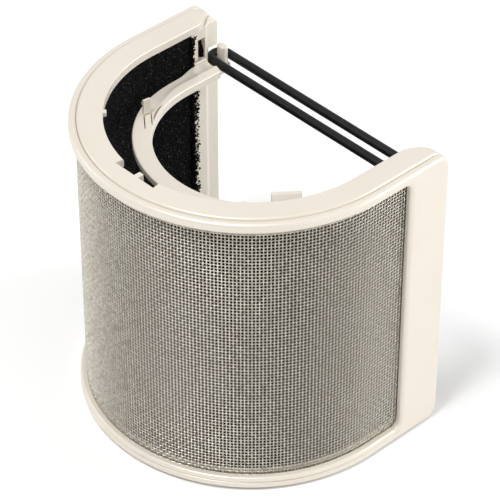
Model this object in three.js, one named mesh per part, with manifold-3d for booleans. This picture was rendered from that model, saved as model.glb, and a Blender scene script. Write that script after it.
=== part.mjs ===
// Clip-on pop filter: a U-shaped frame that wraps a woven screen and a foam liner round the
// front of a microphone, with an inner frame that spaces the microphone off the foam and
// elastic bands across the open back. Millimetres, +Z up, screen towards -Y, open side +Y.
import * as THREE from 'three';
import { mergeVertices } from 'three/addons/utils/BufferGeometryUtils.js';
import Module from 'manifold-3d';

const wasm = await Module();
wasm.setup();

// ---- Driving dimensions ----
const OUTER_R = 50; // half-round front of the frame
const LEG = 26.5; // straight legs behind the half-round
const HEIGHT = 95;
const GAP = 0.3; // clearance between touching pieces
const END_CORNER_R = 5; // rounded corners at the free ends of the legs, seen from the side

const LIP_W = 2.5; // rounded outer lip of each rim
const RIM_W = 9.6; // whole width of the rim, lip and cover
const COVER_T = 2.4;
const TOP_BAND = 3.4; // height of the lip above the screen's window
const BOTTOM_BAND = 4.4;
const SKIN = 1.6; // frame wall in front of the screen's edges
const LIP_PLATE = 1.7; // part of the lip that reaches in over the screen's edge
const LIP_BEVEL = 0.7;

const POST_W = 14.8; // width of each end post on the outside
const POST_CORE_Y = 15.4; // where the posts become thick, behind the ends of screen and foam
const POST_CORE_T = 5.2;
const POST_T = 8.3; // post with its inner cover

const SCREEN_INSET = 1.9;
const SCREEN_T = 0.6;
const CLIP_T = 1.6; // strips that press the screen's edges to the frame
const CLIP_H = 3.3;
const FOAM_IN = 9.3; // inner face of the foam, measured in from the outside

const COLLAR_R = 37.3; // outer edge of the inner frame's collars
const COLLAR_CY = 6;
const COLLAR_BORE_R = 30.6;
const COLLAR_BORE_CY = 4.5;
const COLLAR_END = 16.8; // inner edge's free end
const COLLAR_TOP = 84.3;
const COLLAR_WALL = 2.4; // height of the bore's wall
const COLLAR_T = 1.8;
const RIM_FLAT = { front: 0.6, legs: 3 }; // level strip along the bore
const BRIDGE_X = 40.1; // where the collars meet the side panels
const BRIDGE_END = 20;
const BRIDGE_DROP = 2.5; // the collars slope down to the panels
const SLOPE_FROM = 55; // degrees round from the front
const PANEL = { x0: 40.4, x1: 41.4, y0: 15.4, y1: 20.2, top: 82 }; // inner frame's side panels

// Snap tabs that stand on the collars: the turn is from X to the tab's length, in degrees.
const TABS = {
  left: { x: -29.1, y: -12.3, turn: 261, length: 2.4, thick: 1, barb: 0.4, height: 4.9 },
  right: { x: 28, y: -13.4, turn: 51.5, length: 8.1, thick: 1.6, barb: 0.9, height: 5.6 },
};

const NOTCH_HALF = 7.5; // notch in the middle of each cover's inner edge
const NOTCH_Y = -42.1;
const CATCH_HALF = 0.8;
const CATCH_L = 2.1;

const CORD_D = 2.7;
const PEG_X = 41.4;
const PEG_Y = 26.85;
const BAND_R = 2.85; // centre line of a band round its peg
const UPPER_BAND_Z = 78.9;
const LOWER_BAND_Z = 16.1;
const PEG_L = 3.4;
const PEG_W = 2.4;
const PEG_RISE = 4.4; // peg above the band's centre line
const ROOM = { below: 2.6, above: 4.9 }; // room for a band, from its centre line
const POCKET = { y0: 15.9, y1: 21.2, below: -1.4, above: 11.2 }; // opening beside each peg
const BACK_MOST = PEG_Y + BAND_R + CORD_D / 2;
const ORIGIN_SHIFT = (OUTER_R - BACK_MOST) / 2; // puts the origin below the middle of the box

// ---- Solids ----
function solid(geometry) {
  const g = geometry.clone();
  g.deleteAttribute('normal');
  g.deleteAttribute('uv');
  const merged = mergeVertices(g, 1e-4);
  return new wasm.Manifold(
    new wasm.Mesh({
      numProp: 3,
      vertProperties: new Float32Array(merged.attributes.position.array),
      triVerts: new Uint32Array(merged.index.array),
    }),
  );
}

function geometryOf(manifold) {
  const mesh = manifold.getMesh();
  const g = new THREE.BufferGeometry();
  g.setAttribute('position', new THREE.BufferAttribute(new Float32Array(mesh.vertProperties), 3));
  g.setIndex(new THREE.BufferAttribute(new Uint32Array(mesh.triVerts), 1));
  return g;
}

function block(x0, x1, y0, y1, z0, z1) {
  const g = new THREE.BoxGeometry(x1 - x0, y1 - y0, z1 - z0);
  g.translate((x0 + x1) / 2, (y0 + y1) / 2, (z0 + z1) / 2);
  return solid(g);
}

// Extrudes an outline in the XY plane from z0 to z1, with its edges rounded by `bevel`.
function extrudeUp(shape, z0, z1, bevel = 0, curveSegments = 22) {
  const g = new THREE.ExtrudeGeometry(shape, {
    depth: z1 - z0 - 2 * bevel,
    bevelEnabled: bevel > 0,
    bevelThickness: bevel,
    bevelSize: bevel,
    bevelOffset: -bevel,
    bevelSegments: 2,
    curveSegments,
  });
  g.translate(0, 0, z0 + bevel);
  return solid(g);
}

// A U in plan: two concentric or offset half-rounds with straight legs to yEnd.
function uShape(outer, inner, yEnd) {
  const s = new THREE.Shape();
  s.moveTo(-outer.r, yEnd);
  s.lineTo(-outer.r, outer.cy);
  s.absarc(0, outer.cy, outer.r, Math.PI, 2 * Math.PI, false);
  s.lineTo(outer.r, yEnd);
  s.lineTo(inner.r, yEnd);
  s.lineTo(inner.r, inner.cy);
  s.absarc(0, inner.cy, inner.r, 0, -Math.PI, true);
  s.lineTo(-inner.r, yEnd);
  s.closePath();
  return s;
}

// A U-shaped wall between two depths measured in from the outside of the frame.
function uWall(depthOut, depthIn, yEnd, z0, z1, bevel = 0) {
  const outer = { r: OUTER_R - depthOut, cy: 0 };
  const inner = { r: OUTER_R - depthIn, cy: 0 };
  return extrudeUp(uShape(outer, inner, yEnd), z0, z1, bevel);
}

// Everything inside the frame's side view, whose free end has rounded corners.
function sideEnvelope() {
  const s = new THREE.Shape();
  const front = -OUTER_R - 5;
  const r = END_CORNER_R;
  s.moveTo(front, -1);
  s.lineTo(LEG - r, -1);
  s.lineTo(LEG - r, 0);
  s.absarc(LEG - r, r, r, -Math.PI / 2, 0, false);
  s.absarc(LEG - r, HEIGHT - r, r, 0, Math.PI / 2, false);
  s.lineTo(LEG - r, HEIGHT + 1);
  s.lineTo(front, HEIGHT + 1);
  s.closePath();
  const g = new THREE.ExtrudeGeometry(s, { depth: 120, bevelEnabled: false, curveSegments: 5 });
  g.rotateX(Math.PI / 2);
  g.rotateZ(Math.PI / 2);
  g.translate(-60, 0, 0);
  return solid(g);
}

function mirrorX(manifold) {
  return manifold.mirror([1, 0, 0]);
}

function mirrorHeight(manifold) {
  return manifold.mirror([0, 0, 1]).translate([0, 0, HEIGHT]);
}

// ---- Frame, covers and screen ----
// Room round a peg for the bend of its band, open to the back and the inside.
function bandRoom(bandZ) {
  const r = BAND_R + CORD_D / 2 + 0.5;
  return block(-PEG_X - r, -PEG_X + r, PEG_Y - r, PEG_Y + r, bandZ - ROOM.below, bandZ + ROOM.above);
}

function bothSides(manifold) {
  return manifold.add(mirrorX(manifold));
}

function outerFrame() {
  const topLip = uWall(0, SKIN, LEG, HEIGHT - TOP_BAND, HEIGHT)
    .add(uWall(0, LIP_W, LEG, HEIGHT - LIP_PLATE, HEIGHT, LIP_BEVEL));
  const bottomLip = uWall(0, SKIN, LEG, 0, BOTTOM_BAND)
    .add(uWall(0, LIP_W, LEG, 0, LIP_PLATE, LIP_BEVEL));
  const skin = block(-OUTER_R, -OUTER_R + SKIN, LEG - POST_W, LEG, 0.6, HEIGHT - 0.6);
  const coreTop = HEIGHT - COVER_T - GAP;
  const core = block(-OUTER_R, -OUTER_R + POST_CORE_T, POST_CORE_Y, LEG, 0.6, HEIGHT - 0.6)
    .subtract(block(-OUTER_R + LIP_W, 0, 0, 40, coreTop, HEIGHT + 1))
    .subtract(block(-OUTER_R + LIP_W, 0, 0, 40, -1, COVER_T + GAP));
  let frame = topLip.add(bottomLip).add(bothSides(skin.add(core)));
  frame = frame.subtract(bothSides(bandRoom(UPPER_BAND_Z)));
  frame = frame.subtract(bothSides(bandRoom(LOWER_BAND_Z)));
  return frame.intersect(sideEnvelope());
}

// Flat ring that closes the top of the frame: notched in front, with rounded corners at the
// back and two small nibs on its inner edge.
function topCover() {
  const ro = OUTER_R - LIP_W - GAP;
  const ri = OUTER_R - RIM_W;
  const end = LEG - 0.3;
  const corner = 6;
  const s = new THREE.Shape();
  s.moveTo(-ro, end);
  s.lineTo(-ro, 0);
  s.absarc(0, 0, ro, Math.PI, 2 * Math.PI, false);
  s.lineTo(ro, end);
  s.lineTo(ri + corner - 1, end);
  s.quadraticCurveTo(ri, end, ri, end - corner);
  s.lineTo(ri, 0);
  s.absarc(0, 0, ri, 0, -Math.PI, true);
  s.lineTo(-ri, end - corner);
  s.quadraticCurveTo(-ri, end, -ri - corner + 1, end);
  s.closePath();
  const z0 = HEIGHT - COVER_T;
  let cover = extrudeUp(s, z0, HEIGHT, 0.35);
  cover = cover.subtract(block(-NOTCH_HALF, NOTCH_HALF, NOTCH_Y, NOTCH_Y + 8, z0 - 1, HEIGHT + 1));
  const nib = block(ri - 0.9, ri + 1, -0.8, 0.8, z0 + 0.4, HEIGHT - 0.5);
  const turned = nib.rotate([0, 0, -46]);
  return cover.add(turned).add(mirrorX(turned)).intersect(sideEnvelope());
}

function screen() {
  const top = HEIGHT - LIP_PLATE - GAP;
  return uWall(SCREEN_INSET, SCREEN_INSET + SCREEN_T, POST_CORE_Y - 0.4, LIP_PLATE + GAP, top);
}

function screenClip(z0) {
  const d = SCREEN_INSET + SCREEN_T + GAP;
  return uWall(d, d + CLIP_T, POST_CORE_Y - 0.4, z0, z0 + CLIP_H);
}

// The liner fills the space behind the screen and steps round the two clip strips.
function foamLiner() {
  const d = SCREEN_INSET + SCREEN_T + GAP;
  const low = COVER_T + GAP;
  const high = HEIGHT - COVER_T - GAP;
  const end = POST_CORE_Y - GAP;
  const back = uWall(d + CLIP_T + GAP, FOAM_IN, end, low, high);
  const front = uWall(d, d + CLIP_T + 1, end, low + CLIP_H + GAP, high - CLIP_H - GAP);
  return back.add(front);
}

// Inner cover of an end post, with a pocket and room for the band at each peg.
function postCover() {
  const x0 = -OUTER_R + POST_CORE_T + GAP;
  const x1 = -OUTER_R + POST_T;
  const z0 = COVER_T + GAP;
  const z1 = HEIGHT - COVER_T - GAP;
  const bend = 5.2; // width of the strip along the free edge that slopes away
  const s = new THREE.Shape();
  s.moveTo(x0, POST_CORE_Y);
  s.lineTo(x1, POST_CORE_Y);
  s.lineTo(x1, LEG - bend);
  s.lineTo(x1 - 0.5, LEG - 0.2);
  s.lineTo(x0, LEG - 0.2);
  s.closePath();
  let cover = extrudeUp(s, z0, z1);
  for (const z of [UPPER_BAND_Z, LOWER_BAND_Z]) {
    cover = cover.subtract(bandRoom(z));
    const pocket = block(x0 + 0.8, 0, POCKET.y0, POCKET.y1, z - POCKET.below, z + POCKET.above);
    cover = cover.subtract(pocket);
  }
  return cover.intersect(sideEnvelope());
}

// Peg that a band loops round, on a foot beside the post.
function bandHook(bandZ) {
  const footTop = bandZ - CORD_D / 2 - GAP;
  const foot = block(-PEG_X - 2.6, -PEG_X + 2.4, PEG_Y - 3.2, PEG_Y + 1.6, footTop - 0.9, footTop);
  const lug = block(-PEG_X, -PEG_X + 2.2, PEG_Y - 3.2, PEG_Y + 1.6, footTop - 2.6, footTop - 0.5);
  const s = new THREE.Shape();
  const r = PEG_W / 2;
  s.absarc(PEG_L / 2 - r, 0, r, -Math.PI / 2, Math.PI / 2, false);
  s.absarc(-PEG_L / 2 + r, 0, r, Math.PI / 2, (3 * Math.PI) / 2, false);
  s.closePath();
  const pegX = -PEG_X + (PEG_L - PEG_W) / 2 + 0.1;
  const peg = extrudeUp(s, footTop - 0.5, bandZ + PEG_RISE, 0.2, 6).translate([pegX, PEG_Y, 0]);
  return foot.add(lug).add(peg);
}

// Small catch in the notch of a cover.
function coverCatch() {
  const top = HEIGHT - 0.6;
  const y0 = NOTCH_Y + GAP;
  const y1 = y0 + CATCH_L;
  return block(-CATCH_HALF, CATCH_HALF, y0, y1, top - 1.5, top)
    .add(block(-CATCH_HALF, CATCH_HALF, y1 - 0.7, y1, top - 3.4, top));
}

// ---- Inner frame ----
// Closed solid through equal rings of points, fanned at both ends from each ring's second point.
function loft(rings) {
  const n = rings[0].length;
  const index = [];
  for (let i = 0; i + 1 < rings.length; i += 1) {
    for (let j = 0; j < n; j += 1) {
      const a = i * n + j;
      const b = i * n + ((j + 1) % n);
      index.push(a, b, a + n, b, b + n, a + n);
    }
  }
  const last = (rings.length - 1) * n;
  for (let j = 2; j < n; j += 1) {
    const k = (j + 1) % n;
    index.push(1, k, j, last + 1, last + j, last + k);
  }
  const g = new THREE.BufferGeometry();
  g.setAttribute('position', new THREE.Float32BufferAttribute(rings.flat(2), 3));
  g.setIndex(index);
  return solid(g);
}

const ease = (t) => THREE.MathUtils.smoothstep(t, 0, 1);
const { lerp } = THREE.MathUtils;

// Section of a collar at a place along its U: level strip, slope, outer edge and underside.
function collarRing(bore, outer, flat, drop) {
  const width = Math.hypot(outer[0] - bore[0], outer[1] - bore[1]);
  const along = (u, z) => [
    lerp(bore[0], outer[0], u / width), lerp(bore[1], outer[1], u / width), COLLAR_TOP + z];
  return [
    along(0, -COLLAR_WALL), along(0, 0), along(flat, 0), along(width, -drop),
    along(width, -drop - COLLAR_T), along(2.2, -COLLAR_WALL)];
}

function collar() {
  const rings = [];
  const bendDrop = 1;
  const leg = (side, f) => {
    const out = ease(f * 1.4);
    const bore = [side * COLLAR_BORE_R, lerp(COLLAR_BORE_CY, COLLAR_END, f)];
    const outer = [side * lerp(COLLAR_R, BRIDGE_X, out), lerp(COLLAR_CY, BRIDGE_END, f)];
    return collarRing(bore, outer, RIM_FLAT.legs, lerp(bendDrop, BRIDGE_DROP, out));
  };
  for (let i = 6; i > 0; i -= 1) rings.push(leg(-1, i / 6));
  for (let i = 0; i <= 44; i += 1) {
    const a = -90 + (180 * i) / 44;
    const t = THREE.MathUtils.degToRad(a);
    const slope = ease((Math.abs(a) - SLOPE_FROM) / (90 - SLOPE_FROM));
    const bore = [COLLAR_BORE_R * Math.sin(t), COLLAR_BORE_CY - COLLAR_BORE_R * Math.cos(t)];
    const outer = [COLLAR_R * Math.sin(t), COLLAR_CY - COLLAR_R * Math.cos(t)];
    rings.push(collarRing(
      bore, outer, lerp(RIM_FLAT.front, RIM_FLAT.legs, slope), bendDrop * slope));
  }
  for (let i = 1; i <= 6; i += 1) rings.push(leg(1, i / 6));
  return loft(rings);
}

// Flat side of the inner frame, against the inner cover of an end post.
function sidePanel() {
  return block(-PANEL.x1, -PANEL.x0, PANEL.y0, PANEL.y1, HEIGHT - PANEL.top, PANEL.top);
}

// Snap tab with an outward barb, foot at z = 0 and flat towards the bore.
function snapTab({ length, thick, barb, height }) {
  const s = new THREE.Shape();
  s.moveTo(0, 0);
  s.lineTo(thick, 0);
  s.lineTo(thick * 0.7, height - 2.2);
  s.lineTo(thick + barb, height - 1.5);
  s.lineTo(thick * 0.6, height);
  s.lineTo(0, height);
  s.closePath();
  const g = new THREE.ExtrudeGeometry(s, { depth: length, bevelEnabled: false });
  g.translate(0, 0, -length / 2);
  g.rotateX(Math.PI / 2);
  return g;
}

// ---- Elastic bands ----
function bandLoop() {
  const stadium = (r, target) => {
    target.absarc(PEG_X, 0, r, -Math.PI / 2, Math.PI / 2, false);
    target.absarc(-PEG_X, 0, r, Math.PI / 2, (3 * Math.PI) / 2, false);
    target.closePath();
    return target;
  };
  const s = stadium(BAND_R + CORD_D / 2, new THREE.Shape());
  s.holes.push(stadium(BAND_R - CORD_D / 2, new THREE.Path()));
  const g = new THREE.ExtrudeGeometry(s, {
    depth: CORD_D - 1.8, bevelEnabled: true, bevelThickness: 0.9, bevelSize: 0.9,
    bevelOffset: -0.9, bevelSegments: 2, curveSegments: 7,
  });
  g.translate(0, 0, -CORD_D / 2 + 0.9);
  return g;
}

// ---- Assembly ----
const champagne = () => new THREE.MeshStandardMaterial({
  color: 0xe9e0d2, roughness: 0.42, metalness: 0.25 });
const champagneShade = () => new THREE.MeshStandardMaterial({
  color: 0xded4c4, roughness: 0.5, metalness: 0.2 });
const wire = () => new THREE.MeshStandardMaterial({
  color: 0x9c9484, roughness: 0.35, metalness: 0.9 });
const foam = () => new THREE.MeshStandardMaterial({ color: 0x111011, roughness: 1 });
const elastic = () => new THREE.MeshStandardMaterial({ color: 0x1c1c1d, roughness: 0.6 });

const popFilter = new THREE.Group();
popFilter.position.y = ORIGIN_SHIFT;

function place(name, geometry, material, parent = popFilter) {
  const mesh = new THREE.Mesh(geometry, material);
  mesh.name = name;
  parent.add(mesh);
  return mesh;
}

place('outer_frame', geometryOf(outerFrame()), champagne());
const cover = topCover();
place('top_cover', geometryOf(cover), champagne());
place('bottom_cover', geometryOf(mirrorHeight(cover)), champagne());
place('screen', geometryOf(screen()), wire());
place('top_screen_clip', geometryOf(screenClip(HEIGHT - COVER_T - GAP - CLIP_H)), champagneShade());
place('bottom_screen_clip', geometryOf(screenClip(COVER_T + GAP)), champagneShade());
place('foam_liner', geometryOf(foamLiner()), foam());

const leftCover = postCover();
place('left_post_cover', geometryOf(leftCover), champagneShade());
place('right_post_cover', geometryOf(mirrorX(leftCover)), champagneShade());
const topCatch = coverCatch();
place('top_catch', geometryOf(topCatch), champagne());
place('bottom_catch', geometryOf(mirrorHeight(topCatch)), champagne());

const topCollar = collar();
place('top_collar', geometryOf(topCollar), champagne());
place('bottom_collar', geometryOf(mirrorHeight(topCollar)), champagne());
const leftPanel = sidePanel();
place('left_side_panel', geometryOf(leftPanel), champagneShade());
place('right_side_panel', geometryOf(mirrorX(leftPanel)), champagneShade());

for (const [side, sign] of [['left', -1], ['right', 1]]) {
  for (const [level, bandZ] of [['upper', UPPER_BAND_Z], ['lower', LOWER_BAND_Z]]) {
    const hook = bandHook(bandZ);
    place(`${level}_${side}_hook`, geometryOf(sign < 0 ? hook : mirrorX(hook)), champagne());
  }
  const at = TABS[side];
  for (const [level, up] of [['top', 1], ['bottom', -1]]) {
    const stand = new THREE.Group();
    stand.position.set(at.x, at.y, up > 0 ? COLLAR_TOP + GAP : HEIGHT - COLLAR_TOP - GAP);
    stand.rotation.z = THREE.MathUtils.degToRad(at.turn - 90);
    popFilter.add(stand);
    const tab = place(`${level}_${side}_tab`, snapTab(at), champagne(), stand);
    if (up < 0) tab.rotation.x = Math.PI;
  }
}

for (const [name, z] of [['upper_band', UPPER_BAND_Z], ['lower_band', LOWER_BAND_Z]]) {
  place(name, bandLoop(), elastic()).position.set(0, PEG_Y, z);
}

export default popFilter;
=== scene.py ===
"""Clip-on pop filter: woven screen, foam liner and inner frame in a champagne satin housing.

Lengths are worked out in millimetres and written to the meshes in metres, in the frame of the
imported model: X across, Y from the screen (-Y) to the open back (+Y), Z up.
"""

import math
import random

import bmesh
import bpy
from mathutils import Matrix, Vector, noise


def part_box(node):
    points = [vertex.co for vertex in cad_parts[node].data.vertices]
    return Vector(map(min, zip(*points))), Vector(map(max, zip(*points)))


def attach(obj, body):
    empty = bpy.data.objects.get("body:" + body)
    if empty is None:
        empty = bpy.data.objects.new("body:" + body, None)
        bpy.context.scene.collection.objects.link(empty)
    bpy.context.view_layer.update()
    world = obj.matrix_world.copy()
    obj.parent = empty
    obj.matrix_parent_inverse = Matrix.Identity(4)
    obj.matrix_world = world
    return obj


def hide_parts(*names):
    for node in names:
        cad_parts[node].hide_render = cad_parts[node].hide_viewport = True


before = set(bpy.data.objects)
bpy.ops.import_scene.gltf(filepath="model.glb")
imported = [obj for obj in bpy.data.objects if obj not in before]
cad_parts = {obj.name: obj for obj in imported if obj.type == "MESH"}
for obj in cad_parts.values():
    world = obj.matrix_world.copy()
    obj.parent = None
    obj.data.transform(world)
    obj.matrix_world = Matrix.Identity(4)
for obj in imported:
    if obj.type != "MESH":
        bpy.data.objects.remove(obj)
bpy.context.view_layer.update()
MM = 0.001


def size_mm(name):
    """Lowest and highest corner of a CAD node, in millimetres."""
    low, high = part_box(name)
    return Vector(low) / MM, Vector(high) / MM


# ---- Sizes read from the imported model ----
FRAME_LO, FRAME_HI = size_mm("outer_frame")
R = FRAME_HI.x  # outer radius of the half-round front
CY = FRAME_LO.y + R  # its centre
LEG = FRAME_HI.y - CY  # straight legs behind it
H = FRAME_HI.z
ARC = math.pi * R / 2
END = ARC + LEG  # length along the outside from the middle of the front to a leg's end
BACK = CY + LEG
BAND_CENTRES = [size_mm(n)[0].lerp(size_mm(n)[1], 0.5) for n in ("lower_band", "upper_band")]

# ---- Sizes of the details ----
CORNER_R = 5.0  # rounded corners at the free ends, seen from the side
LIP_D = 2.25  # inner edge of the rims' outer lip, measured in from the outside
LIP_STEP = 0.45  # the lip lies this much below the covers
LIP_ROUND = 1.15
GROOVE_R = 0.55
SKIN = 1.9  # depth of the window's walls
BAND_TOP, BAND_LOW = 3.4, 4.4  # rim heights above and below the window
POST_W = 14.8
WINDOW_R = 2.6  # corners of the window
COVER_IN = 9.6  # inner edge of the covers
COVER_T = 2.4
EDGE_D, EDGE_H = 0.7, 0.95  # rounded outer edge of a cover, beside the groove
SCREEN_D = 2.2  # middle of the screen, in from the outside
WIRE_R = 0.178
WARP_PITCH = 1.055  # along the outside of the frame
WEFT_PITCH = 1.07
CORD_R = 1.35
PEG_Y = BAND_CENTRES[0].y
CORE_Y = CY + 15.4  # where the posts become thick
ROOM_D = 3.9  # depth at which a band's room starts, in from the outside
ROOM_BELOW, ROOM_ABOVE = 2.6, 4.9
ROOM_FRONT, ROOM_BACK = 4.7, 9.0  # a room's reach in front of and behind the pegs
NOTCH_DEPTH_Y = 42.1  # straight notch in front, measured forwards from the centre
NOTCH_S = R * math.atan(7.5 / NOTCH_DEPTH_Y)

# ---- Inner frame ----
COLLAR_TOP = size_mm("top_collar")[1].z
BORE_R, BORE_CY = 30.6, CY + 4.5
SHELF_R, SHELF_CY = 37.3, CY + 6.0
BORE_BACK, BRIDGE_BACK = CY + 16.8, CY + 20.0
BRIDGE_X = size_mm("right_side_panel")[0].x

# ---- Camera and lights, in metres ----
LENS = 195.56
CAMERA_AT = (0.43713, -0.40025, 0.53067)
CAMERA_TARGET = (-0.00334, 0.012175, 0.04274)
LIGHT_TARGET = (0, 0, 0.045)
WORLD_STRENGTH = 0.60
LIGHTS = (  # name, place, diameter, watts
    ("key_light", (0.05, -0.40, 1.05), 0.30, 6.2),
    ("left_light", (-0.9, -0.45, 0.5), 0.4, 1.3),
    ("right_light", (0.95, -0.15, 0.45), 0.5, 0.5),
    ("back_light", (0.62, 0.72, 0.42), 0.5, 4.6),
)


def on_u(s, d, z):
    """Point at length s along the outside (0 in the middle of the front), d deep, z high."""
    if abs(s) <= ARC:
        a = s / R
        return Vector(((R - d) * math.sin(a), CY - (R - d) * math.cos(a), z))
    side = 1 if s > 0 else -1
    return Vector((side * (R - d), CY + abs(s) - ARC, z))


def smooth(t):
    t = max(0.0, min(1.0, t))
    return t * t * (3 - 2 * t)


def lerp(a, b, t):
    return a + (b - a) * t


def spread(a, b, n):
    return [lerp(a, b, i / (n - 1)) for i in range(n)]


# ---- Mesh building ----
def build(name, verts, faces, material, body="shell", replaces=(), sharp=32, slot=None):
    """Object from millimetre points, smooth across edges flatter than `sharp` degrees."""
    mesh = bpy.data.meshes.new(name)
    mesh.from_pydata([tuple(Vector(v) * MM) for v in verts], [], faces)
    bm = bmesh.new()
    bm.from_mesh(mesh)
    bmesh.ops.remove_doubles(bm, verts=bm.verts, dist=1e-7)
    bmesh.ops.recalc_face_normals(bm, faces=bm.faces)
    bm.to_mesh(mesh)
    bm.free()
    mesh.shade_smooth()
    mesh.set_sharp_from_angle(angle=math.radians(sharp))
    obj = bpy.data.objects.new(name, mesh)
    bpy.context.scene.collection.objects.link(obj)
    mesh.materials.append(material)
    weighted = obj.modifiers.new("weighted", "WEIGHTED_NORMAL")
    weighted.keep_sharp = True
    weighted.weight = 90
    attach(obj, body)
    if replaces:
        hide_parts(*replaces)
    return obj


def loft(rings, closed=False, caps=True):
    """Vertices and faces that join equal rings of points; `closed` joins the last to the first."""
    n = len(rings[0])
    verts = [p for ring in rings for p in ring]
    faces = []
    count = len(rings)
    for i in range(count if closed else count - 1):
        a, b = i * n, (i + 1) % count * n
        for j in range(n):
            k = (j + 1) % n
            faces.append((a + j, a + k, b + k, b + j))
    if caps and not closed:
        faces.append(tuple(range(n))[::-1])
        faces.append(tuple(range((count - 1) * n, count * n)))
    return verts, faces


def joined(*parts):
    verts, faces = [], []
    for v, f in parts:
        at = len(verts)
        verts += list(v)
        faces += [tuple(i + at for i in face) for face in f]
    return verts, faces


def mirrored(part, axis=0, about=0.0):
    """The part reflected in x (axis 0) or in height (axis 2, about = mid height)."""
    verts = []
    for v in part[0]:
        w = Vector(v)
        w[axis] = 2 * about - w[axis]
        verts.append(w)
    return verts, [tuple(reversed(f)) for f in part[1]]


def upside_down(part):
    return mirrored(part, axis=2, about=H / 2)


def cut(part, *cutters):
    """The part with the cutters' volumes taken out of it."""
    helpers = []
    for verts, faces in (part, joined(*cutters)):
        mesh = bpy.data.meshes.new("cutting")
        mesh.from_pydata([tuple(v) for v in verts], [], faces)
        bm = bmesh.new()
        bm.from_mesh(mesh)
        bmesh.ops.recalc_face_normals(bm, faces=bm.faces)
        bm.to_mesh(mesh)
        bm.free()
        helpers.append(bpy.data.objects.new("cutting", mesh))
        bpy.context.scene.collection.objects.link(helpers[-1])
    modifier = helpers[0].modifiers.new("cut", "BOOLEAN")
    modifier.operation = "DIFFERENCE"
    modifier.solver = "EXACT"
    modifier.object = helpers[1]
    result = helpers[0].evaluated_get(bpy.context.evaluated_depsgraph_get()).to_mesh()
    out = [v.co.copy() for v in result.vertices], [tuple(f.vertices) for f in result.polygons]
    for helper in helpers:
        bpy.data.meshes.remove(helper.data)
    return out


def box(x0, x1, y0, y1, z0, z1):
    """Plain box for cutting."""
    ring = [(x0, y0), (x1, y0), (x1, y1), (x0, y1)]
    return loft([[Vector((x, y, z)) for x, y in ring] for z in (z0, z1)])


def inset_loop(loop, amount):
    """Closed 2D loop moved inwards by `amount`; the loop runs counter-clockwise."""
    out = []
    n = len(loop)
    for i in range(n):
        p, a, b = Vector(loop[i]), Vector(loop[i - 1]), Vector(loop[(i + 1) % n])
        e1, e2 = (p - a).normalized(), (b - p).normalized()
        n1, n2 = Vector((-e1.y, e1.x)), Vector((-e2.y, e2.x))
        m = n1 + n2
        m = m / max(m.length_squared, 1e-6) * 2 if m.length > 1e-6 else n1
        out.append(p + m * amount)
    return out


def rounded_prism(loop, z0, z1, r=0.3, place=lambda p, z: (p.x, p.y, z), steps=3):
    """Prism on a counter-clockwise 2D loop, with rounded rims."""
    rings = []
    angles = spread(0, math.pi / 2, steps + 1)
    for a in angles:
        rings.append((r * (1 - math.sin(a)), z0 + r * (1 - math.cos(a))))
    for a in angles:
        rings.append((r * (1 - math.cos(a)), z1 - r * (1 - math.sin(a))))
    return loft([[Vector(place(p, z)) for p in inset_loop(loop, e)] for e, z in rings])


def rounded_rect(x0, x1, y0, y1, r, n=5):
    """Counter-clockwise rectangle with rounded corners."""
    out = []
    for cx, cy, a0 in ((x1 - r, y0 + r, -90), (x1 - r, y1 - r, 0), (x0 + r, y1 - r, 90),
                       (x0 + r, y0 + r, 180)):
        for a in spread(math.radians(a0), math.radians(a0 + 90), n):
            out.append(Vector((cx + r * math.cos(a), cy + r * math.sin(a))))
    return out


# ---- Materials ----
class Nodes:
    """Wires up a Principled material."""

    def __init__(self, name):
        self.material = bpy.data.materials.new(name)
        self.material.use_nodes = True
        self.tree = self.material.node_tree
        self.shader = self.tree.nodes["Principled BSDF"]
        self.coords = self.tree.nodes.new("ShaderNodeTexCoord").outputs["Object"]

    def add(self, kind, inputs=None, **settings):
        node = self.tree.nodes.new("ShaderNode" + kind)
        for key, value in settings.items():
            setattr(node, key, value)
        for key, value in (inputs or {}).items():
            self.put(node.inputs[key], value)
        return node

    def put(self, socket, value):
        if isinstance(value, bpy.types.NodeSocket):
            self.tree.links.new(value, socket)
        else:
            socket.default_value = value

    def set(self, **values):
        for key, value in values.items():
            self.put(self.shader.inputs[key.replace("_", " ")], value)

    def noise(self, scale, detail=3.0, rough=0.5):
        node = self.add("TexNoise", {"Vector": self.coords, "Scale": scale, "Detail": detail,
                                     "Roughness": rough})
        return node.outputs["Fac"]

    def cells(self, scale):
        node = self.add("TexVoronoi", {"Vector": self.coords, "Scale": scale}, feature="F1")
        return node.outputs["Distance"]

    def ramp(self, fac, stops):
        node = self.add("ValToRGB", {"Fac": fac})
        marks = node.color_ramp.elements
        while len(marks) < len(stops):
            marks.new(0.5)
        for mark, (at, color) in zip(marks, stops):
            mark.position = at
            mark.color = (*color, 1)
        return node.outputs["Color"]

    def remap(self, fac, low, high):
        return self.add("MapRange", {"Value": fac, "To Min": low, "To Max": high}).outputs[0]

    def bump(self, height, strength, distance):
        return self.add("Bump", {"Height": height, "Strength": strength, "Distance": distance})

    def mix(self, fac, a, b):
        node = self.add("Mix", {"Factor": fac}, data_type="RGBA")
        self.put(node.inputs[6], a)
        self.put(node.inputs[7], b)
        return node.outputs[2]


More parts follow.
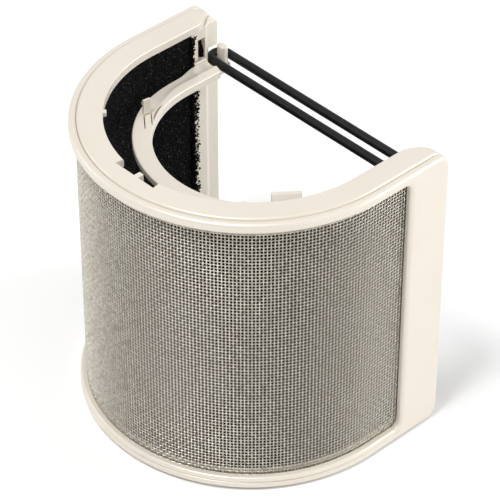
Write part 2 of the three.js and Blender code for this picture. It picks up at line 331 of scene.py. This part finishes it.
def satin_plastic(name, light, dark, metallic, rough):
    """Champagne satin paint: soft patches, fine metallic grain and a faint moulded waviness."""
    m = Nodes(name)
    patches = m.noise(38.0, 4.0, 0.55)
    grain = m.noise(5200.0, 2.0, 0.6)
    base = m.ramp(patches, [(0.30, dark), (0.70, light)])
    flakes = m.ramp(grain, [(0.42, (0.93, 0.92, 0.90)), (0.60, (1.0, 1.0, 1.0))])
    mixed = m.add("Mix", {"Factor": 1.0}, data_type="RGBA", blend_type="MULTIPLY")
    m.put(mixed.inputs[6], base)
    m.put(mixed.inputs[7], flakes)
    m.set(Base_Color=mixed.outputs[2], Metallic=metallic)
    m.set(Roughness=m.remap(m.noise(260.0, 3.0), rough - 0.05, rough + 0.07))
    m.set(Coat_Weight=0.12, Coat_Roughness=0.28)
    fine = m.bump(m.noise(3400.0, 2.0, 0.6), 0.10, 0.00006)
    wavy = m.bump(m.noise(60.0, 1.0), 0.10, 0.0004)
    m.put(wavy.inputs["Normal"], fine.outputs["Normal"])
    m.set(Normal=wavy.outputs["Normal"])
    return m.material


def wire_metal(name, light, dark):
    """Drawn wire in champagne finish with uneven tone and gloss."""
    m = Nodes(name)
    tone = m.noise(900.0, 3.0, 0.6)
    m.set(Base_Color=m.ramp(tone, [(0.32, dark), (0.62, light)]), Metallic=0.85)
    m.set(Roughness=m.remap(m.noise(1500.0, 2.0), 0.24, 0.36))
    m.set(Normal=m.bump(m.noise(5200.0, 2.0), 0.12, 0.00004).outputs["Normal"])
    return m.material


def cell_foam(name):
    """Black reticulated foam: the open cells are painted darker than their struts as painted shade,
    and painted glints stand for struts that catch the light here and there.
    """
    m = Nodes(name)
    cells = m.cells(1500.0)
    fine = m.cells(3600.0)
    # Painted shade: the open cells are coloured darker than the struts round them.
    struts_and_cell_shade = m.ramp(cells, [(0.25, (0.0015, 0.0014, 0.0015)), (0.75, (0.0075, 0.007, 0.007))])
    patch = m.noise(700.0, 2.0)
    # Painted highlight: pale specks where struts seem to catch the light.
    painted_glint = m.ramp(m.noise(2600.0, 2.0, 0.7), [(0.66, (0, 0, 0)), (0.72, (1, 1, 1))])
    base = m.mix(painted_glint, struts_and_cell_shade, (0.34, 0.33, 0.32, 1))
    m.set(Base_Color=base, Roughness=m.remap(patch, 0.75, 0.95), Specular_IOR_Level=0.06)
    small = m.bump(fine, 0.7, 0.0002)
    big = m.bump(cells, 0.9, 0.0005)
    m.put(big.inputs["Normal"], small.outputs["Normal"])
    m.set(Normal=big.outputs["Normal"])
    return m.material


def black_rubber(name):
    """Smooth black elastic with a slightly uneven tone and gloss."""
    m = Nodes(name)
    dust = m.noise(420.0, 4.0, 0.65)
    m.set(Base_Color=m.ramp(dust, [(0.35, (0.004, 0.004, 0.0045)), (0.80, (0.013, 0.013, 0.014))]))
    m.set(Roughness=m.remap(m.noise(900.0, 3.0), 0.32, 0.46), Specular_IOR_Level=0.30)
    m.set(Normal=m.bump(m.noise(2400.0, 2.0), 0.12, 0.0001).outputs["Normal"])
    return m.material


def matt_floor(name):
    """Pale matt floor."""
    m = Nodes(name)
    tone = m.noise(3.0, 2.0)
    m.set(Base_Color=m.ramp(tone, [(0.3, (0.93, 0.93, 0.93)), (0.7, (0.95, 0.95, 0.95))]))
    m.set(Roughness=m.remap(m.noise(40.0, 2.0), 0.75, 0.85), Specular_IOR_Level=0.2)
    return m.material


CHAMPAGNE = satin_plastic("champagne_satin", (0.80, 0.745, 0.66), (0.775, 0.715, 0.63), 0.22, 0.36)
# Painted light: the same champagne plastic given a lighter colour, to make up for the shade on the
# post faces, side panels and screen clips inside the frame.
CHAMPAGNE_PAINTED_BRIGHTER = satin_plastic("champagne_painted_brighter", (0.85, 0.79, 0.70), (0.82, 0.755, 0.665), 0.18, 0.42)
WIRE = wire_metal("champagne_wire", (0.84, 0.80, 0.72), (0.50, 0.455, 0.37))
FOAM = cell_foam("black_foam")
RUBBER = black_rubber("black_elastic")


# ---- Camera, lights and floor ----
def set_stage():
    scene = bpy.context.scene
    camera = bpy.data.cameras.new("camera")
    camera.sensor_width = 36
    camera.lens = LENS
    camera.clip_start = 0.01
    eye = bpy.data.objects.new("camera", camera)
    scene.collection.objects.link(eye)
    eye.location = CAMERA_AT
    eye.rotation_euler = (Vector(CAMERA_TARGET) - eye.location).to_track_quat("-Z", "Y").to_euler()
    scene.camera = eye

    world = bpy.data.worlds.new("studio")
    world.use_nodes = True
    world.node_tree.nodes["Background"].inputs["Color"].default_value = (1, 1, 1, 1)
    world.node_tree.nodes["Background"].inputs["Strength"].default_value = WORLD_STRENGTH
    scene.world = world
    scene.view_settings.view_transform = "Standard"
    scene.view_settings.look = "None"

    for name, place, size, power in LIGHTS:
        lamp = bpy.data.lights.new(name, "AREA")
        lamp.shape = "DISK"
        lamp.size = size
        lamp.energy = power
        light = bpy.data.objects.new(name, lamp)
        light.location = place
        aim = Vector(LIGHT_TARGET) - light.location
        light.rotation_euler = aim.to_track_quat("-Z", "Y").to_euler()
        scene.collection.objects.link(light)

    sides = 64
    rings = [[Vector((r * math.cos(a), r * math.sin(a), -0.05)) for a in
              spread(0, 2 * math.pi * (sides - 1) / sides, sides)] for r in (4000.0, 400.0, 60.0)]
    verts, faces = loft(rings, caps=False)
    faces.append(tuple(range(2 * sides, 3 * sides)))  # fills the innermost ring
    mesh = bpy.data.meshes.new("floor")
    mesh.from_pydata([tuple(v * MM) for v in verts], [], faces)
    mesh.materials.append(matt_floor("floor_white"))
    floor = bpy.data.objects.new("floor", mesh)
    scene.collection.objects.link(floor)


# ---- Outer frame ----
def window_stations():
    """Matching points round the outer edge and round the window, on the unrolled frame.

    Each entry holds the outer point, its inward normal, the window's point, its normal into the
    material, and how far it belongs to the bottom edge and to the side posts (0 to 1).
    """
    w_end = END - POST_W
    z_lo, z_hi = BAND_LOW, H - BAND_TOP
    side_z = spread(z_lo + WINDOW_R, z_hi - WINDOW_R, 9)
    along = spread(-(w_end - WINDOW_R), w_end - WINDOW_R, 145)
    out = [((s, 0.0), (0, 1), (s, z_lo), (0, -1), 1.0, 0.0) for s in along]

    def corner(right, top):
        """Points of one corner, from the horizontal edge to the post."""
        run = END - CORNER_R - (w_end - WINDOW_R)
        band = BAND_TOP if top else BAND_LOW
        rise = band + WINDOW_R - CORNER_R
        turn = math.pi / 2 * CORNER_R
        marks = []
        for f in spread(0, 1, 26)[1:-1]:
            length = f * (run + turn + rise)
            if length < run:
                o, n = (w_end - WINDOW_R + length, 0.0), (0, 1)
            elif length < run + turn:
                a = (length - run) / CORNER_R
                o = (END - CORNER_R + CORNER_R * math.sin(a), CORNER_R - CORNER_R * math.cos(a))
                n = (-math.sin(a), math.cos(a))
            else:
                o, n = (END, CORNER_R + length - run - turn), (-1, 0)
            b = f * math.pi / 2
            w = (w_end - WINDOW_R + WINDOW_R * math.sin(b),
                 band + WINDOW_R - WINDOW_R * math.cos(b))
            m = (math.sin(b), -math.cos(b))
            marks.append((o, n, w, m, smooth(1 - 1.6 * f) if not top else 0.0, smooth(f)))
        sx = 1 if right else -1

        def turned(p, flip):
            return (sx * p[0], (H - p[1] if flip else p[1]) if top else p[1])

        def turned_n(p):
            return (sx * p[0], -p[1] if top else p[1])

        return [(turned(o, True), turned_n(n), turned(w, True), turned_n(m), g, p)
                for o, n, w, m, g, p in marks]

    out += corner(True, False)
    out += [((END, z), (-1, 0), (w_end, z), (1, 0), 0.0, 1.0) for z in side_z]
    out += corner(True, True)[::-1]
    out += [((s, H), (0, -1), (s, z_hi), (0, 1), 0.0, 0.0) for s in reversed(along)]
    out += corner(False, True)
    out += [((-END, z), (1, 0), (-w_end, z), (-1, 0), 0.0, 1.0) for z in reversed(side_z)]
    out += corner(False, False)[::-1]
    return out


def end_share(s):
    """1 at the free ends of the legs, falling to 0 where their corners begin."""
    return smooth((abs(s) - (END - CORNER_R)) / 3.0)


def frame_ring():
    """Band round the window: soft fillet, face, rounded lip and the lip's inner edge."""
    rings = []
    for o, n, w, m, low, post in window_stations():
        o, n, w, m = Vector(o), Vector(n), Vector(w), Vector(m)
        ring = [(w, SKIN)]
        fillet = lerp(lerp(0.8, 1.5, post), 1.1, low)
        deep = lerp(0.8, 1.0, post)
        for a in spread(0, math.pi / 2, 7):
            ring.append((w + m * fillet * (1 - math.cos(a)), deep * (1 - math.sin(a))))
        for e, depth in ((0.12, 0.04), (0.24, 0.34), (0.36, 0.34), (0.56, 0.05), (0.80, 0.0)):
            ring.append((w + m * (fillet + e), depth * low))
        step = LIP_STEP * (1 - end_share(o.x))
        for a in spread(0, math.pi / 2, 8):
            ring.append((o + n * (step + LIP_ROUND * (1 - math.sin(a))),
                         LIP_ROUND * (1 - math.cos(a))))
        for a in spread(0, math.pi / 2, 5):
            ring.append((o + n * (step + GROOVE_R * (1 - math.cos(a))),
                         LIP_D - GROOVE_R + GROOVE_R * math.sin(a)))
        ring.append((o + n * 2.0, LIP_D))
        ring.append((o + n * 2.0, SKIN))
        rings.append([on_u(p.x, depth, p.y) for p, depth in ring])
    return loft(rings, closed=True)


def side_loop(y0, inset, z0, z1):
    """Side-view outline of an end post behind y0, with rounded back corners."""
    r = CORNER_R - inset
    back = BACK - inset
    loop = [Vector((y0, z0)), Vector((back - r, z0))]
    for a in spread(-math.pi / 2, 0, 6)[1:]:
        loop.append(Vector((back - r + r * math.cos(a), z0 + r + r * math.sin(a))))
    for a in spread(0, math.pi / 2, 6):
        loop.append(Vector((back - r + r * math.cos(a), z1 - r + r * math.sin(a))))
    loop.append(Vector((y0, z1)))
    return loop


def depth_box(side, d0, d1, y0, y1, z0, z1):
    """Cutting box on the left (-1) or right (1) post, between two depths."""
    xs = sorted((side * (R - d0), side * (R - d1)))
    return box(*xs, y0, y1, z0, z1)


def band_rooms(side):
    """Room round each peg for the bend of its band, open to the back and the inside."""
    return [depth_box(side, ROOM_D, 20, PEG_Y - ROOM_FRONT, PEG_Y + ROOM_BACK,
                      c.z - ROOM_BELOW, c.z + ROOM_ABOVE) for c in BAND_CENTRES]


def deep_holes(side):
    """Back half of each pocket, which goes on into the frame."""
    return [depth_box(side, 3.6, 20, CY + 18.2, CY + 20.9, c.z + 2.6, c.z + 9.6)
            for c in BAND_CENTRES]


def post_core(side):
    """Thick end of the frame behind the screen, cut for the bands and the deep holes."""
    place = lambda p, d: (side * (R - d), p.x, p.y)
    outer = rounded_prism(side_loop(CORE_Y, 0.35, 1.2, H - 1.2), 0.8, 3.0, 0.25, place, 2)
    core = rounded_prism(side_loop(CORE_Y, 0.35, 2.7, H - 2.7), 2.6, 5.2, 0.25, place, 2)
    return joined(outer, cut(core, *band_rooms(side), *deep_holes(side)))


def make_frame():
    build("frame_shell", *joined(frame_ring(), post_core(-1), post_core(1)), CHAMPAGNE,
          replaces=["outer_frame"], slot="champagne_plastic")


# ---- Rim covers ----
def end_drop(y):
    """How far the rounded back corner lies below the top at y."""
    t = y - (BACK - CORNER_R)
    return CORNER_R - math.sqrt(max(CORNER_R ** 2 - t * t, 0.0)) if t > 0 else 0.0


def cover_inner(s):
    """Inner edge of a cover, as a depth: notched in front, curving outwards at the ends."""
    tail = abs(s) - ARC - 17.0
    if tail > 0:
        return lerp(COVER_IN, COVER_IN - 5.0, smooth(tail / 10.0))
    if abs(s) < NOTCH_S:
        return R - NOTCH_DEPTH_Y / math.cos(s / R)
    return COVER_IN


def rim_cover():
    last = END - 0.3
    stations = sorted(set(
        [round(s, 4) for s in spread(-last + 10, last - 10, 161)]
        + [sign * (NOTCH_S + e) for sign in (-1, 1) for e in (-0.02, 0.02)]
        + [sign * s for sign in (-1, 1) for s in spread(last - 10, last, 25)]))
    rings = []
    r = 0.4
    for s in stations:
        drop = end_drop(on_u(s, 0, 0).y)
        top, low = H - drop, min(H - COVER_T, H - drop - 1.0)
        a, b = LIP_D + 0.03, cover_inner(s)
        ring = [(a, low)]
        ring += [(a + EDGE_D * (1 - math.cos(t)), top - EDGE_H * (1 - math.sin(t))) for t in
                 spread(0, math.pi / 2, 7)]
        ring += [(lerp(a + EDGE_D, b - 2 * r, t), top) for t in (0.3, 0.7)]
        ring += [(b - r + r * math.sin(t), top - r + r * math.cos(t)) for t in
                 spread(0, math.pi / 2, 5)]
        ring += [(b, low)]
        rings.append([on_u(s, d, z) for d, z in ring])
    nib = rounded_prism(rounded_rect(-0.8, 0.8, -1.0, 0.9, 0.25, 3), H - COVER_T + 0.4, H - 0.5,
                        0.15)
    nibs = []
    for angle in (-44, 44):
        turn = Matrix.Rotation(math.radians(angle), 3, "Z")
        moved = [Vector((0, CY, 0)) + turn @ (v + Vector((0, COVER_IN - R, 0))) for v in nib[0]]
        nibs.append((moved, nib[1]))
    return joined(loft(rings), *nibs)


def make_covers():
    cover = rim_cover()
    build("top_rim_cover", *cover, CHAMPAGNE, replaces=["top_cover"], slot="champagne_plastic")
    build("bottom_rim_cover", *upside_down(cover), CHAMPAGNE, replaces=["bottom_cover"],
          slot="champagne_plastic")


# ---- Woven screen ----
def wire(path, normals, radius):
    """Four-sided tube along a path."""
    rings = []
    for i, p in enumerate(path):
        along = (path[min(i + 1, len(path) - 1)] - path[max(i - 1, 0)]).normalized()
        out = normals[i] if isinstance(normals, list) else normals
        side = along.cross(out).normalized()
        up = side.cross(along)
        rings.append([p + (up * math.cos(a) + side * math.sin(a)) * radius
                      for a in (0, math.pi / 2, math.pi, 3 * math.pi / 2)])
    return loft(rings)


def outward(s):
    return (on_u(s, 0, 0) - on_u(s, 1, 0)).normalized()


def make_screen():
    lo_z, hi_z = 2.2, H - 2.2
    s_end = END - 11.6
    n_warp = int(2 * s_end / WARP_PITCH)
    n_weft = int((hi_z - lo_z) / WEFT_PITCH)
    warps = [(i - (n_warp - 1) / 2) * WARP_PITCH for i in range(n_warp)]
    wefts = [(lo_z + hi_z) / 2 + (j - (n_weft - 1) / 2) * WEFT_PITCH for j in range(n_weft)]
    swing = WIRE_R * 0.96
    halves = {"screen_warp_left": [], "screen_warp_right": [], "screen_weft_low": [],
              "screen_weft_high": []}
    for i, s in enumerate(warps):
        out = outward(s)
        path = []
        for j, z in enumerate(wefts):
            path.append(on_u(s, SCREEN_D - swing * (-1) ** (i + j), z))
            if j < n_weft - 1:
                path.append(on_u(s, SCREEN_D, z + WEFT_PITCH / 2))
        halves["screen_warp_left" if s < 0 else "screen_warp_right"].append(
            wire(path, out, WIRE_R))
    for j, z in enumerate(wefts):
        path, outs = [], []
        for i, s in enumerate(warps):
            path.append(on_u(s, SCREEN_D + swing * (-1) ** (i + j), z))
            outs.append(outward(s))
            if i < n_warp - 1:
                path.append(on_u(s + WARP_PITCH / 2, SCREEN_D, z))
                outs.append(outward(s + WARP_PITCH / 2))
        halves["screen_weft_low" if z < H / 2 else "screen_weft_high"].append(
            wire(path, outs, WIRE_R))
    for name, wires in halves.items():
        build(name, *joined(*wires), WIRE, replaces=["screen"], sharp=100, slot="woven_wire")


# ---- Foam liner ----
def rough(p, scale, seed):
    """Smooth random value at a point, from about -1 to 1."""
    return noise.noise(Vector(p) * scale + Vector((seed, -seed, 2 * seed)))


def make_foam():
    low, high = COVER_T + 0.3, H - COVER_T - 0.3
    face_z = spread(low, high, 150)
    last = ARC + 15.1
    rings = []
    for s in spread(-last, last, 260):
        ring = [on_u(s, 2.9, high), on_u(s, 2.9, low)]
        ring += [on_u(s, 5.0, low)]
        for z in face_z:
            p = on_u(s, 9.1, z)
            cell = 0.16 * rough(p, 1.9, 3.1) + 0.30 * rough(p, 0.45, 7.7) + 0.08 * rough(p, 4.1, 1.3)
            ring.append(on_u(s, 9.1 + cell, z))
        ring += [on_u(s, 5.0, high)]
        rings.append(ring)
    # The cut ends are ragged: a fine grid whose points stand in and out.
    verts, faces = loft(rings, caps=False)
    for side in (-1, 1):
        grid = []
        depths = spread(2.9, 9.1, 18)
        heights = spread(low, high, 180)
        at = len(verts)
        for z in heights:
            for d in depths:
                p = on_u(side * last, d, z)
                jut = 0.42 * rough(p, 2.3, 5.0) + 0.35 * rough(p, 0.8, 9.0)
                edge = d == depths[0] or z in (heights[0], heights[-1])
                grid.append(on_u(side * (last + (0 if edge else jut - 0.1)), d, z))
        verts += grid
        n = len(depths)
        for i in range(len(heights) - 1):
            for j in range(n - 1):
                a = at + i * n + j
                quad = (a, a + 1, a + n + 1, a + n)
                faces.append(quad if side > 0 else quad[::-1])
    # The plugs are dark pieces of foam that stand in for the shade at the back of the posts'
    # pockets.
    verts, faces = joined((verts, faces), *(strands(side, last) for side in (-1, 1)),
                          *(pocket_shade_plug(side, c) for side in (-1, 1) for c in BAND_CENTRES))
    foam = build("foam_pad", verts, faces, FOAM, replaces=["foam_liner"], sharp=180,
                 slot="open_cell_foam")


def strands(side, last):
    """Torn cell walls that stand out along the foam's cut end."""
    rng = random.Random(11 + side)
    verts, faces = [], []
    for _ in range(1500):
        z = rng.uniform(COVER_T + 1, H - COVER_T - 1)
        beside = any(c.z + 0.8 < z < c.z + 11.8 for c in BAND_CENTRES)
        s0 = last - 0.6 + (0.9 if beside else 2.4) * rng.random() ** 2.2
        start = on_u(side * s0, 9.2 + 0.25 * rng.random(), z)
        reach = Vector((-side * rng.uniform(0.2, 0.9), rng.uniform(-0.3, 0.9),
                        rng.uniform(-0.8, 0.8))).normalized() * rng.uniform(0.35, 0.9)
        end = start + reach
        end.x = side * min(abs(end.x), R - 9.7) if end.y > CORE_Y - 0.3 else end.x
        start.x = side * min(abs(start.x), R - 9.7) if start.y > CORE_Y - 0.3 else start.x
        thick = rng.uniform(0.12, 0.22)
        v, f = wire([start, (start + end) / 2 + Vector((0, 0, 0.08)), end],
                    Vector((0.3, 0.2, 1)).normalized(), thick)
        at = len(verts)
        verts += v
        faces += [tuple(i + at for i in face) for face in f]
    return verts, faces


def pocket_shade_plug(side, centre):
    """Ragged piece of black foam at the back of a post's pocket, a dark piece that stands in for the
    shade deep in the pocket.
    """
    rings = []
    for z in spread(centre.z + 1.6, centre.z + 8.6, 20):
        fall = 1.3 * smooth((z - centre.z - 4.5) / 4.0)
        ring = [(CY + 18.5, 5.9), (CY + 21.1, 5.9)]
        ring += [(y, lerp(6.3, 7.9 - fall, smooth((y - CY - 18.5) / 2.2)) - 0.25
                  + 0.25 * rough((y, z, 0), 1.7, 4.0)) for y in spread(CY + 21.1, CY + 18.5, 9)]
        rings.append([Vector((side * (R - d), y, z)) for y, d in ring])
    return loft(rings)


# ---- Post covers ----
def post_slab(side, d0, d1):
    """Inner cover of a post; its face slopes away along the free edge, which is rounded."""
    rings = []
    slope_from, last = CY + LEG - 5.2, CY + LEG - 0.25
    ys = [CORE_Y] + spread(CORE_Y + 0.15, slope_from, 6) + spread(slope_from + 0.2, last - 0.4, 12)
    ys += spread(last - 0.3, last, 5)
    for y in ys:
        depth = d1 - 0.3 * smooth((y - slope_from) / 0.8) - (0.12 if y == CORE_Y else 0.0)
        tail = y - (last - 0.4)
        if tail > 0:
            depth -= 0.4 - math.sqrt(max(0.0, 0.16 - tail * tail))
        inset = COVER_T + 0.3 + max(0.0, end_drop(y + 0.25) - COVER_T)
        low, high = inset, H - inset
        rings.append([Vector((side * (R - d), y, z)) for z, d in
                      ((low, d0), (high, d0), (high, depth - 0.1), (high - 0.1, depth),
                       (low + 0.1, depth), (low, depth - 0.1))])
    return loft(rings)


def make_post_covers():
    for side, name in ((-1, "left"), (1, "right")):
        pockets = [depth_box(side, 6.2, 20, CY + 15.9, CY + 21.2, c.z + 1.4, c.z + 11.2)
                   for c in BAND_CENTRES]
        face = cut(post_slab(side, 5.45, 8.3), *band_rooms(side), *pockets, *deep_holes(side))
        build(f"{name}_post_face", *face, CHAMPAGNE_PAINTED_BRIGHTER, replaces=[f"{name}_post_cover"],
              slot="inner_plastic")


# ---- Collars and side panels ----
def bore_at(a, z=0.0, r=BORE_R):
    """Point on a circle about the bore's centre, `a` degrees round from the front."""
    a = math.radians(a)
    return Vector((r * math.sin(a), BORE_CY - r * math.cos(a), z))


def collar_stations():
    """Bore edge, outer edge, width of the level strip and drop of the slope, along the U."""
    legs = []
    for f in spread(0, 1, 14)[1:]:
        out = smooth(f * 1.4)
        legs.append((Vector((BORE_R, lerp(BORE_CY, BORE_BACK, f), 0)),
                     Vector((lerp(SHELF_R, BRIDGE_X, out), lerp(SHELF_CY, BRIDGE_BACK, f), 0)),
                     3.0, lerp(1.0, 2.5, out)))
    flip = lambda v: Vector((-v.x, v.y, v.z))
    out = [(flip(b), flip(o), w, d) for b, o, w, d in reversed(legs)]
    for a in spread(-90, 90, 121):
        t = math.radians(a)
        slope = smooth((abs(a) - 55) / 35)
        shelf = Vector((SHELF_R * math.sin(t), SHELF_CY - SHELF_R * math.cos(t), 0))
        out.append((bore_at(a), shelf, lerp(0.6, 3.0, slope), 1.0 * slope))
    return out + legs


def collar():
    """Level strip along the bore, then a shelf that slopes down towards the side panels."""
    rings = []
    for bore, outer, strip, drop in collar_stations():
        width = (outer - bore).length
        across = (outer - bore) / width
        section = [(0, -2.4), (0, -0.45)]
        section += [(0.45 - 0.45 * math.cos(a), -0.45 + 0.45 * math.sin(a))
                    for a in spread(0, math.pi / 2, 5)[1:]]
        section += [(strip - 0.1, 0)]
        for share in (0.03, 0.10, 0.2, 0.35, 0.5, 0.7, 0.9):
            section.append((lerp(strip, width - 0.4, share), -drop * (1 - (1 - share) ** 2.4)))
        section += [(width - 0.4 + 0.4 * math.sin(a), -drop - 0.4 * (1 - math.cos(a)))
                    for a in spread(0, math.pi / 2, 4)]
        section += [(width, -drop - 1.8), (2.2, -2.4)]
        rings.append([bore + across * u + Vector((0, 0, COLLAR_TOP + z)) for u, z in section])
    return cut(loft(rings), *slits(-1), *slits(1), *side_slot(-1), *side_slot(1))


def slits(side):
    """Two cuts in the collar that free the finger in front of a snap tab."""
    out = []
    ahead = Vector((-side * 0.785, -0.62, 0))
    wide = Vector((0.62, -side * 0.785, 0)) * 0.2
    for start, length in (((29.3, -13.4), 6.0), ((28.9, -11.1), 5.4)):
        a = Vector((side * start[0], CY + start[1], 0))
        b = a + ahead * length
        ring = [a - wide, b - wide * 0.6, b + wide * 0.6, a + wide]
        out.append(loft([[p + Vector((0, 0, COLLAR_TOP + z)) for p in ring] for z in (-4, 1)]))
    return out


def side_slot(side):
    """Narrow curved recess beside the tab, along the start of the level strip."""
    rings = []
    for a in spread(57, 70, 12):
        wide = 0.55 * math.sin(math.pi * min(1, max(0.08, (a - 57) / 13 * 0.86 + 0.1))) + 0.12
        ring = []
        for r, z in ((31.05, -1.3), (31.05 + wide, -1.3), (31.05 + wide, 1), (31.05, 1)):
            ring.append(bore_at(side * a, COLLAR_TOP + z, r + 0.04 * (a - 57)))
        rings.append(ring)
    return [loft(rings)]


def make_collars():
    part = collar()
    build("top_inner_collar", *part, CHAMPAGNE, "inner_frame", ["top_collar"],
          slot="champagne_plastic")
    build("bottom_inner_collar", *upside_down(part), CHAMPAGNE, "inner_frame",
          ["bottom_collar"], slot="champagne_plastic")


def softened(node, name, body, material, width):
    """A copy of a small CAD piece with its edges rounded, in place of the node."""
    mesh = bpy.data.objects[node].data.copy()
    mesh.name = name
    bm = bmesh.new()
    bm.from_mesh(mesh)
    bmesh.ops.remove_doubles(bm, verts=bm.verts, dist=2e-6)
    bmesh.ops.dissolve_limit(bm, angle_limit=math.radians(2), verts=bm.verts, edges=bm.edges)
    bm.to_mesh(mesh)
    bm.free()
    mesh.materials.clear()
    mesh.materials.append(material)
    mesh.shade_smooth()
    mesh.set_sharp_from_angle(angle=math.radians(32))
    obj = bpy.data.objects.new(name, mesh)
    bpy.context.scene.collection.objects.link(obj)
    bevel = obj.modifiers.new("rounding", "BEVEL")
    bevel.width = width * MM
    bevel.segments = 3
    bevel.limit_method = "ANGLE"
    bevel.angle_limit = math.radians(30)
    bevel.harden_normals = True
    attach(obj, body)
    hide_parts(node)


def make_small_parts():
    for level in ("top", "bottom"):
        softened(f"{level}_catch", f"{level}_rim_catch", "shell", CHAMPAGNE, 0.15)
        for side in ("left", "right"):
            softened(f"{level}_{side}_tab", f"{level}_{side}_snap_tab", f"{level}_{side}_snap",
                     CHAMPAGNE, 0.18)
    for level in ("upper", "lower"):
        for side in ("left", "right"):
            softened(f"{level}_{side}_hook", f"{level}_{side}_peg", "shell", CHAMPAGNE, 0.15)
    for side in ("left", "right"):
        softened(f"{side}_side_panel", f"{side}_cage_side", "inner_frame", CHAMPAGNE_PAINTED_BRIGHTER, 0.3)
    for node in ("top_screen_clip", "bottom_screen_clip"):
        for part_slot in bpy.data.objects[node].material_slots:
            part_slot.material = CHAMPAGNE_PAINTED_BRIGHTER


# ---- Elastic bands ----
def make_bands():
    for level in ("upper", "lower"):
        low, high = size_mm(f"{level}_band")
        centre = low.lerp(high, 0.5)
        turn = (high.y - low.y) / 2 - CORD_R
        half = high.x - turn - CORD_R
        path = []
        for sign in (1, -1):
            straight = spread(-half, half, 40) if sign > 0 else spread(half, -half, 40)
            path += [(x, -sign * turn, 0) for x in straight[:-1]]
            for a in spread(-math.pi / 2, math.pi / 2, 17)[:-1]:
                path.append((sign * (half + turn * math.cos(a)), sign * turn * math.sin(a), 0))
        rings = []
        n = len(path)
        for i, p in enumerate(path):
            here = Vector(p)
            along = (Vector(path[(i + 1) % n]) - Vector(path[i - 1])).normalized()
            side = along.cross(Vector((0, 0, 1))).normalized()
            rings.append([centre + here + (side * math.cos(a) + Vector((0, 0, 1)) * math.sin(a))
                          * CORD_R for a in spread(0, 2 * math.pi * 15 / 16, 16)])
        build(f"{level}_elastic_loop", *loft(rings, closed=True), RUBBER, f"{level}_elastic",
              [f"{level}_band"], sharp=180, slot="elastic_rubber")


set_stage()
make_frame()
make_covers()
make_screen()
make_foam()
make_post_covers()
make_collars()
make_small_parts()
make_bands()
